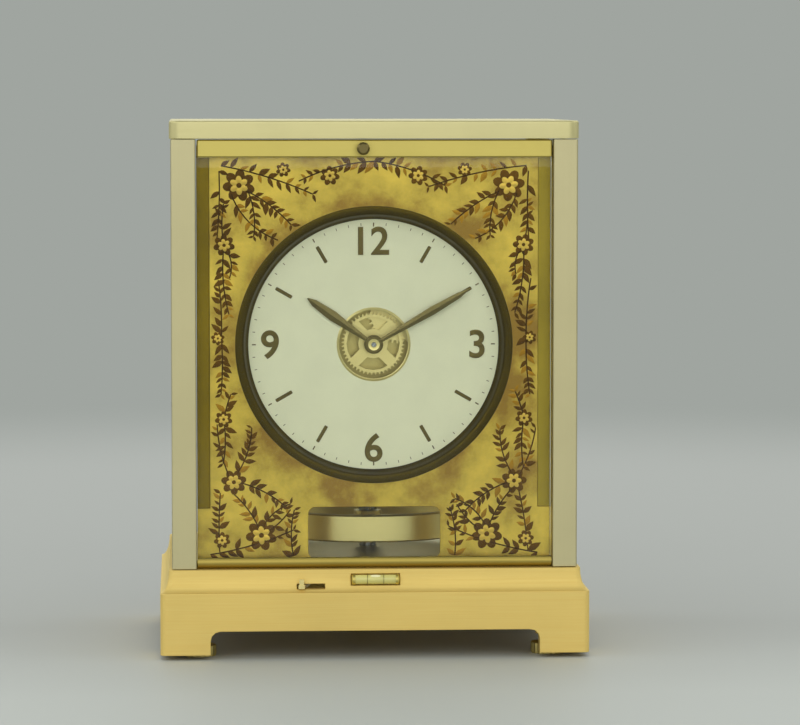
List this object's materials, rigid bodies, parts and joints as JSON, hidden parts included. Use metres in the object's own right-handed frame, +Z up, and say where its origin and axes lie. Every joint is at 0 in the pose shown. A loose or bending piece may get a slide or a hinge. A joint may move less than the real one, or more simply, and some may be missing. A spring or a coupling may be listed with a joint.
{
  "type": "atmospheric mantel clock",
  "caption": "Glazed gilt mantel clock on an arched plinth: a torsion balance swings under a dial with an open centre, and a gas-filled bellows winds the train.",
  "frame": {"origin": "centre of the base, on the surface that the feet stand on", "axes": "+Z up, the dial faces -Y, +X to the right of a person who reads the dial"},
  "size_m": [0.18, 0.138, 0.225],
  "materials": {
    "gilt": "polished gilt",
    "pale_gilt": "brushed pale gilt",
    "brass": "lacquered",
    "steel": "polished",
    "dark": "dark gloss lacquer",
    "panel": "gilt with dark lacquered ornament",
    "dial": "ivory enamel",
    "glass": "clear",
    "nickel": "nickel plated"
  },
  "bodies": {
    "case_and_frame": {"plinth": "gilt", "rear_foot": "brass", "base_deck": "brass", "post_front_left": "pale_gilt", "post_front_right": "pale_gilt", "post_rear_left": "pale_gilt", "post_rear_right": "pale_gilt", "top_slab": "gilt", "side_glass_left": "glass", "side_glass_right": "glass", "rear_glass": "glass", "decor_panel": "panel", "dial_bezel": "dark", "dial": "dial", "level_vial": "glass", "movement_platform": "brass", "column_front_left": "brass", "column_front_right": "brass", "column_rear_left": "brass", "column_rear_right": "brass", "front_plate": "brass", "back_plate": "brass", "pillar_bottom_left": "brass", "pillar_bottom_right": "brass", "pillar_top_left": "brass", "pillar_top_right": "brass", "pallet_cock": "brass", "suspension_bracket": "brass", "suspension_block": "steel", "drum_shell": "brass", "drum_cap": "gilt", "winding_chain": "steel", "compensation_spring": "steel"},
    "front_door": {"front_glass": "glass", "door_top_rail": "gilt", "door_hinge_bar": "gilt", "pull_knob": "dark"},
    "levelling_foot_left": {"levelling_foot_left": "brass"},
    "levelling_foot_right": {"levelling_foot_right": "brass"},
    "lock_lever": {"lock_lever": "steel"},
    "lock_collar": {"lock_collar": "steel"},
    "centre": {"centre_arbor": "steel", "centre_wheel": "gilt", "cannon_pinion": "steel", "minute_hand": "dark"},
    "hour": {"hour_wheel": "gilt", "hour_hand": "dark"},
    "minute_wheel": {"minute_wheel": "gilt"},
    "intermediate_wheel": {"intermediate_wheel": "gilt"},
    "barrel": {"barrel": "brass"},
    "winding": {"barrel_arbor": "steel", "winding_pulley": "brass"},
    "click": {"click": "steel"},
    "escape_wheel": {"escape_wheel": "gilt"},
    "pallet_fork": {"pallet_fork": "steel"},
    "balance": {"balance_ring": "gilt", "balance_staff": "steel"},
    "bellows": {"bellows": "nickel"},
    "guide_roller": {"guide_roller": "brass"},
    "regulator_lever": {"regulator_lever": "steel"}
  },
  "joints": [
    {"name": "front_door_hinge", "type": "hinge", "parent": "case_and_frame", "child": "front_door", "pos_m": [0, -0.061, 0.0402], "axis": [1, 0, 0], "range_deg": [0, 75]},
    {"name": "left_foot_turn", "type": "hinge", "parent": "case_and_frame", "child": "levelling_foot_left", "pos_m": [-0.074, -0.053, 0], "axis": [0, 0, 1], "range_deg": [-720, 720]},
    {"name": "right_foot_turn", "type": "hinge", "parent": "case_and_frame", "child": "levelling_foot_right", "pos_m": [0.074, -0.053, 0], "axis": [0, 0, 1], "range_deg": [-720, 720]},
    {"name": "lock_lever_turn", "type": "hinge", "parent": "case_and_frame", "child": "lock_lever", "pos_m": [-0.027, -0.035, 0.0305], "axis": [0, 0, 1], "range_deg": [0, 13]},
    {"name": "lock_collar_lift", "type": "slide", "parent": "case_and_frame", "child": "lock_collar", "axis": [0, 0, 1], "range_m": [0, 0.002]},
    {"name": "centre_turn", "type": "hinge", "parent": "case_and_frame", "child": "centre", "pos_m": [0, 0, 0.131], "axis": [0, -1, 0], "continuous": true},
    {"name": "hour_turn", "type": "hinge", "parent": "case_and_frame", "child": "hour", "pos_m": [0, 0, 0.131], "axis": [0, -1, 0], "continuous": true},
    {"name": "minute_wheel_turn", "type": "hinge", "parent": "case_and_frame", "child": "minute_wheel", "pos_m": [0.01043, 0, 0.14343], "axis": [0, -1, 0], "continuous": true},
    {"name": "intermediate_turn", "type": "hinge", "parent": "case_and_frame", "child": "intermediate_wheel", "pos_m": [-0.01568, 0, 0.12195], "axis": [0, -1, 0], "continuous": true},
    {"name": "barrel_turn", "type": "hinge", "parent": "case_and_frame", "child": "barrel", "pos_m": [-0.00983, 0, 0.10012], "axis": [0, -1, 0], "continuous": true},
    {"name": "escape_turn", "type": "hinge", "parent": "case_and_frame", "child": "escape_wheel", "pos_m": [0, 0, 0.1461], "axis": [0, -1, 0], "continuous": true},
    {"name": "pallet_rock", "type": "hinge", "parent": "case_and_frame", "child": "pallet_fork", "pos_m": [0, 0, 0.1576], "axis": [0, -1, 0], "range_deg": [-4, 4]},
    {"name": "balance_swing", "type": "hinge", "parent": "case_and_frame", "child": "balance", "pos_m": [0, 0, 0.05225], "axis": [0, 0, 1], "range_deg": [-360, 180]},
    {"name": "bellows_breathe", "type": "slide", "parent": "case_and_frame", "child": "bellows", "axis": [0, -1, 0], "range_m": [0, 0.003], "deforming": ["bellows", "compensation_spring", "winding_chain"]},
    {"name": "guide_roller_turn", "type": "hinge", "parent": "case_and_frame", "child": "guide_roller", "pos_m": [-0.00403, -0.0053, 0.1262], "axis": [1, 0, 0], "range_deg": [0, 36]},
    {"name": "winding_turn", "type": "hinge", "parent": "case_and_frame", "child": "winding", "pos_m": [-0.00983, 0, 0.10012], "axis": [0, -1, 0], "range_deg": [-30, 0]},
    {"name": "click_lift", "type": "hinge", "parent": "case_and_frame", "child": "click", "pos_m": [-0.00043, 0, 0.0967], "axis": [0, -1, 0], "range_deg": [0, 8]},
    {"name": "regulator_turn", "type": "hinge", "parent": "case_and_frame", "child": "regulator_lever", "pos_m": [0, 0, 0.1999], "axis": [0, 0, 1], "range_deg": [-10, 10]}
  ],
  "couplings": [
    {"joint": "lock_collar_lift", "follows": "lock_lever_turn", "m_per_rad": 0.0088},
    {"joint": "hour_turn", "follows": "centre_turn", "ratio": 0.083333},
    {"joint": "minute_wheel_turn", "follows": "centre_turn", "ratio": -0.33333},
    {"joint": "intermediate_turn", "follows": "centre_turn", "ratio": -0.25},
    {"joint": "barrel_turn", "follows": "centre_turn", "ratio": 0.0625},
    {"joint": "escape_turn", "follows": "centre_turn", "ratio": -4},
    {"joint": "guide_roller_turn", "follows": "bellows_breathe", "rad_per_m": 208.33},
    {"joint": "winding_turn", "follows": "bellows_breathe", "rad_per_m": -172.41}
  ]
}
